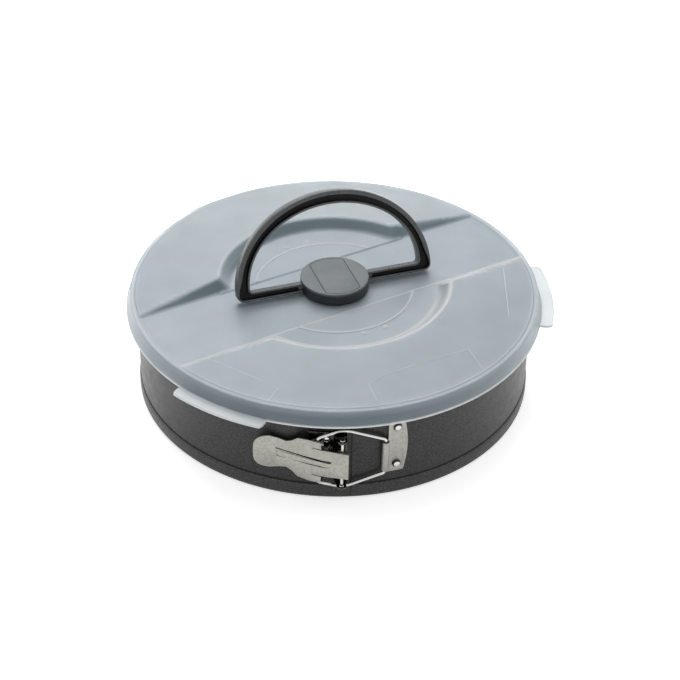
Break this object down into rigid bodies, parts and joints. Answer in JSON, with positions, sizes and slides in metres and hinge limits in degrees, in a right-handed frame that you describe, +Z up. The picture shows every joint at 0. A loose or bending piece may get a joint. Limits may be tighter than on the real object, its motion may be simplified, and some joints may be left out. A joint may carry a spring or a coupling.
{
  "type": "cake pan with lid",
  "caption": "Round springform cake pan in grey steel with an over-centre wire latch, a frosted carrying lid and a folding handle on a swivelling hub.",
  "frame": {"origin": "centre of the flat underside of the pan's base plate, on the surface that the pan stands on", "axes": "+Z up through the pan, the hub and the handle; -Y towards the latch; +X to the right when the latch faces the viewer"},
  "size_m": [0.2831, 0.2817, 0.1353],
  "materials": {
    "nonstick_steel": "dark grey speckled non-stick coating",
    "nickel_steel": "satin nickel plate",
    "frosted_plastic": "frosted translucent polypropylene",
    "grey_plastic": "satin",
    "dark_plastic": "satin"
  },
  "bodies": {
    "pan": {"side_ring": "nonstick_steel", "base_plate": "nonstick_steel", "lever_bracket": "nickel_steel", "bracket_rivet_lower": "nickel_steel", "bracket_rivet_upper": "nickel_steel", "lever_pin": "nickel_steel", "catch_plate": "nickel_steel", "catch_rivet_lower": "nickel_steel", "catch_rivet_upper": "nickel_steel"},
    "lever": {"latch_lever": "nickel_steel"},
    "bail": {"tension_bail": "nickel_steel"},
    "lid": {"lid_shell": "frosted_plastic"},
    "hub": {"hub_base": "dark_plastic", "hub_cap": "grey_plastic", "hub_panel": "grey_plastic", "hub_retainer": "dark_plastic", "retainer_screw_1": "nickel_steel", "retainer_screw_2": "nickel_steel", "retainer_screw_3": "nickel_steel"},
    "handle": {"carry_handle": "dark_plastic"}
  },
  "joints": [
    {"name": "lever_swing", "type": "hinge", "parent": "pan", "child": "lever", "pos_m": [0.0065, -0.1398, 0.0355], "axis": [0, 0, 1], "range_deg": [0, 120]},
    {"name": "bail_swing", "type": "hinge", "parent": "pan", "child": "bail", "pos_m": [0.03315, -0.12911, 0.034], "axis": [0, 0, 1], "range_deg": [0, 24]},
    {"name": "lid_lift", "type": "slide", "parent": "pan", "child": "lid", "axis": [0, 0, 1], "range_m": [0, 0.08]},
    {"name": "hub_turn", "type": "hinge", "parent": "lid", "child": "hub", "pos_m": [0, 0, 0.0758], "axis": [0, 0, 1], "continuous": true},
    {"name": "handle_fold", "type": "hinge", "parent": "hub", "child": "handle", "pos_m": [0, 0, 0.0758], "axis": [0.9438, 0.3305, 0], "range_deg": [-72, 108]}
  ],
  "couplings": [
    {"joint": "bail_swing", "follows": "lever_swing", "ratio": 0.2}
  ]
}
